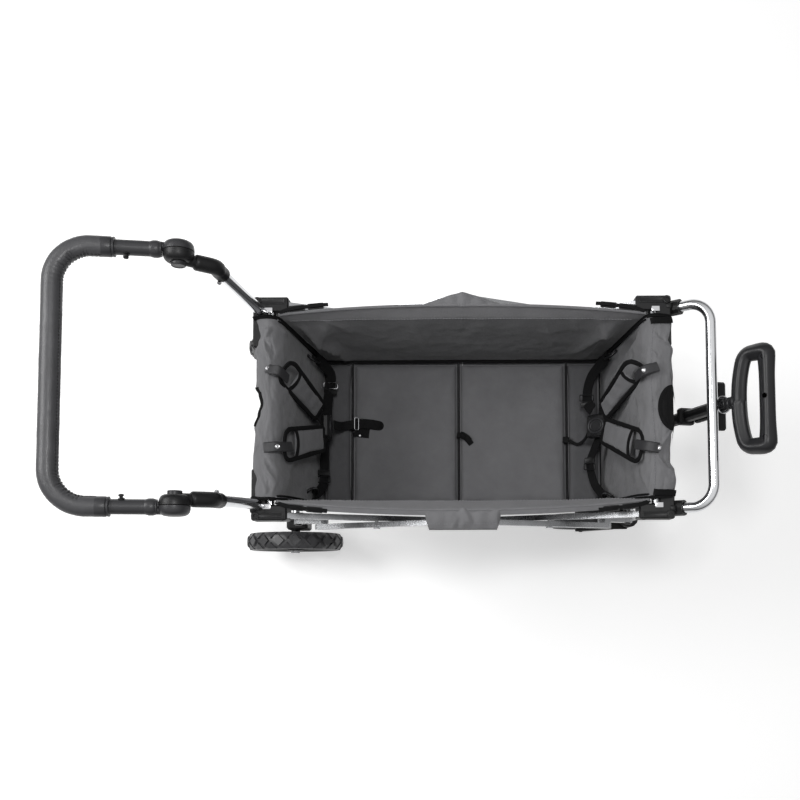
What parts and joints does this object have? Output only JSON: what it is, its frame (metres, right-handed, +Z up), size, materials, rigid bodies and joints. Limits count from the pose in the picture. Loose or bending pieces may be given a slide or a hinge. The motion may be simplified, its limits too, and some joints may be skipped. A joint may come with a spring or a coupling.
{
  "type": "folding stroller wagon",
  "caption": "Hand-pulled folding wagon with a soft basket, facing seats with harnesses, a push handle, a pull handle, large rear wheels and swivel casters.",
  "frame": {"origin": "middle of the whole wagon's box, on the floor", "axes": "+X from the push handle towards the pull handle, along the wagon; +Y to the left, seen from the push handle; +Z up"},
  "size_m": [1.3856, 0.5824, 1.0117],
  "materials": {
    "aluminium": "satin",
    "black_plastic": "moulded, lightly grained",
    "grey_fabric": "woven polyester",
    "rubber": "matt",
    "leather": "fine grain, stitched",
    "steel": "satin",
    "webbing": "woven webbing"
  },
  "bodies": {
    "rear_frame": {"rear_end_frame": "aluminium", "rear_bracket_left": "black_plastic", "rear_bracket_right": "black_plastic", "axle_block_left": "black_plastic", "axle_block_right": "black_plastic", "rear_axle": "steel", "rear_end_wall": "grey_fabric", "side_wall_left": "grey_fabric", "side_wall_right": "grey_fabric", "elbow_base_left": "black_plastic", "elbow_base_right": "black_plastic", "rear_harness": "webbing", "rear_buckle": "black_plastic"},
    "front_frame": {"front_end_frame": "aluminium", "front_bracket_left": "black_plastic", "front_bracket_right": "black_plastic", "front_hoop": "aluminium", "caster_housing_left": "black_plastic", "caster_housing_right": "black_plastic", "pull_bracket": "black_plastic", "front_end_wall": "grey_fabric", "front_harness": "webbing", "front_buckle": "black_plastic"},
    "long_bars_rear": {"long_bar_rear_left": "aluminium", "long_bar_rear_right": "aluminium"},
    "long_bars_front": {"long_bar_front_left": "aluminium", "long_bar_front_right": "aluminium"},
    "cross_bars_rear": {"cross_bar_rear_left": "aluminium", "cross_bar_rear_right": "aluminium"},
    "cross_bars_front": {"cross_bar_front_left": "aluminium", "cross_bar_front_right": "aluminium"},
    "rear_sleeves": {"sleeve_rear_left": "black_plastic", "sleeve_rear_right": "black_plastic"},
    "front_sleeves": {"sleeve_front_left": "black_plastic", "sleeve_front_right": "black_plastic"},
    "hinge_covers": {"hinge_cover_left": "grey_fabric", "hinge_cover_right": "grey_fabric"},
    "rear_board": {"rear_floor_board": "black_plastic", "rear_floor_pad": "grey_fabric"},
    "front_board": {"front_floor_board": "black_plastic", "front_floor_pad": "grey_fabric"},
    "rear_wheel_left": {"rear_tyre_left": "rubber", "rear_rim_left": "black_plastic"},
    "rear_wheel_right": {"rear_tyre_right": "rubber", "rear_rim_right": "black_plastic"},
    "caster_fork_left": {"caster_fork_left": "black_plastic"},
    "caster_fork_right": {"caster_fork_right": "black_plastic"},
    "caster_wheel_left": {"caster_wheel_left": "rubber"},
    "caster_wheel_right": {"caster_wheel_right": "rubber"},
    "brake": {"brake_pedal": "black_plastic"},
    "push_handle": {"push_handle_frame": "black_plastic", "leather_grip": "leather"},
    "elbow_button_left": {"elbow_button_left": "black_plastic"},
    "elbow_button_right": {"elbow_button_right": "black_plastic"},
    "pull_outer": {"pull_tube_outer": "black_plastic"},
    "pull_clip": {"pull_lock_clip": "black_plastic"},
    "pull_inner": {"pull_tube_inner": "aluminium", "pull_grip": "black_plastic"},
    "rear_buckle_button": {"rear_buckle_button": "black_plastic"},
    "front_buckle_button": {"front_buckle_button": "black_plastic"}
  },
  "joints": [
    {"name": "fold", "type": "hinge", "parent": "rear_frame", "child": "long_bars_rear", "pos_m": [-0.32959, 0, 0.64], "axis": [0, 1, 0], "range_deg": [0, 33], "deforming": ["side_wall_left", "side_wall_right"]},
    {"name": "rear_crossing", "type": "hinge", "parent": "long_bars_rear", "child": "cross_bars_rear", "pos_m": [-0.13709, 0, 0.542], "axis": [0, 1, 0], "range_deg": [-66.2, 0]},
    {"name": "lower_middle_hinge", "type": "hinge", "parent": "long_bars_rear", "child": "long_bars_front", "pos_m": [0.05541, 0, 0.444], "axis": [0, 1, 0], "range_deg": [-66.2, 0]},
    {"name": "front_crossing", "type": "hinge", "parent": "long_bars_front", "child": "cross_bars_front", "pos_m": [0.24791, 0, 0.542], "axis": [0, 1, 0], "range_deg": [0, 66.2]},
    {"name": "front_corner_hinge", "type": "hinge", "parent": "long_bars_front", "child": "front_frame", "pos_m": [0.44042, 0, 0.64], "axis": [0, 1, 0], "range_deg": [0, 33.2]},
    {"name": "rear_sleeve_hinge", "type": "hinge", "parent": "cross_bars_rear", "child": "rear_sleeves", "pos_m": [-0.32959, 0, 0.444], "axis": [0, 1, 0], "range_deg": [0, 33.2]},
    {"name": "front_sleeve_hinge", "type": "hinge", "parent": "cross_bars_front", "child": "front_sleeves", "pos_m": [0.44042, 0, 0.444], "axis": [0, 1, 0], "range_deg": [-33.2, 0]},
    {"name": "cover_hinge", "type": "hinge", "parent": "cross_bars_rear", "child": "hinge_covers", "pos_m": [0.05541, 0, 0.64], "axis": [0, 1, 0], "range_deg": [0, 33.2]},
    {"name": "rear_board_hinge", "type": "hinge", "parent": "rear_frame", "child": "rear_board", "pos_m": [-0.21158, 0, 0.291], "axis": [0, 1, 0], "range_deg": [-89.3, 0], "deforming": ["rear_floor_pad"]},
    {"name": "front_board_hinge", "type": "hinge", "parent": "front_frame", "child": "front_board", "pos_m": [0.32242, 0, 0.291], "axis": [0, 1, 0], "range_deg": [0, 89.3], "deforming": ["front_floor_pad"]},
    {"name": "rear_wheel_spin_left", "type": "hinge", "parent": "rear_frame", "child": "rear_wheel_left", "pos_m": [-0.39409, 0.2617, 0.127], "axis": [0, 1, 0], "continuous": true},
    {"name": "rear_wheel_spin_right", "type": "hinge", "parent": "rear_frame", "child": "rear_wheel_right", "pos_m": [-0.39409, -0.2617, 0.127], "axis": [0, 1, 0], "continuous": true},
    {"name": "caster_swivel_left", "type": "hinge", "parent": "front_frame", "child": "caster_fork_left", "pos_m": [0.48541, 0.207, 0.186], "axis": [0, 0, 1], "continuous": true},
    {"name": "caster_spin_left", "type": "hinge", "parent": "caster_fork_left", "child": "caster_wheel_left", "pos_m": [0.37541, 0.207, 0.085], "axis": [0, 1, 0], "continuous": true},
    {"name": "caster_swivel_right", "type": "hinge", "parent": "front_frame", "child": "caster_fork_right", "pos_m": [0.48541, -0.207, 0.186], "axis": [0, 0, 1], "continuous": true},
    {"name": "caster_spin_right", "type": "hinge", "parent": "caster_fork_right", "child": "caster_wheel_right", "pos_m": [0.37541, -0.207, 0.085], "axis": [0, 1, 0], "continuous": true},
    {"name": "brake_press", "type": "hinge", "parent": "rear_frame", "child": "brake", "pos_m": [-0.40708, 0, 0.152], "axis": [0, 1, 0], "range_deg": [-20, 0]},
    {"name": "push_handle_tilt", "type": "hinge", "parent": "rear_frame", "child": "push_handle", "pos_m": [-0.45959, 0, 0.957], "axis": [0, 1, 0], "range_deg": [-75, 60]},
    {"name": "press_elbow_button_left", "type": "slide", "parent": "rear_frame", "child": "elbow_button_left", "axis": [0, 1, 0], "range_m": [0, 0.004], "stiffness_N_per_m": 400},
    {"name": "press_elbow_button_right", "type": "slide", "parent": "rear_frame", "child": "elbow_button_right", "axis": [0, -1, 0], "range_m": [0, 0.004], "stiffness_N_per_m": 400},
    {"name": "pull_handle_swing", "type": "hinge", "parent": "front_frame", "child": "pull_outer", "pos_m": [0.51341, 0, 0.385], "axis": [0, 1, 0], "range_deg": [0, 70]},
    {"name": "pull_handle_reach", "type": "slide", "parent": "pull_outer", "child": "pull_inner", "axis": [0.3007, 0, 0.9537], "range_m": [0, 0.21]},
    {"name": "pull_clip_flip", "type": "hinge", "parent": "pull_outer", "child": "pull_clip", "pos_m": [0.58163, 0, 0.5365], "axis": [0, 1, 0], "range_deg": [0, 40]},
    {"name": "press_rear_buckle", "type": "slide", "parent": "rear_frame", "child": "rear_buckle_button", "axis": [-1, 0, 0], "range_m": [0, 0.002], "stiffness_N_per_m": 400},
    {"name": "press_front_buckle", "type": "slide", "parent": "front_frame", "child": "front_buckle_button", "axis": [0.7071, 0, -0.7071], "range_m": [0, 0.002], "stiffness_N_per_m": 400}
  ],
  "couplings": [
    {"joint": "rear_crossing", "follows": "fold", "ratio": -2},
    {"joint": "lower_middle_hinge", "follows": "fold", "ratio": -2},
    {"joint": "front_crossing", "follows": "fold", "ratio": 2},
    {"joint": "front_corner_hinge", "follows": "fold", "ratio": 1},
    {"joint": "rear_sleeve_hinge", "follows": "fold", "ratio": 1},
    {"joint": "front_sleeve_hinge", "follows": "fold", "ratio": -1},
    {"joint": "cover_hinge", "follows": "fold", "ratio": 1},
    {"joint": "rear_board_hinge", "follows": "fold", "ratio": -2.7},
    {"joint": "front_board_hinge", "follows": "fold", "ratio": 2.7}
  ]
}
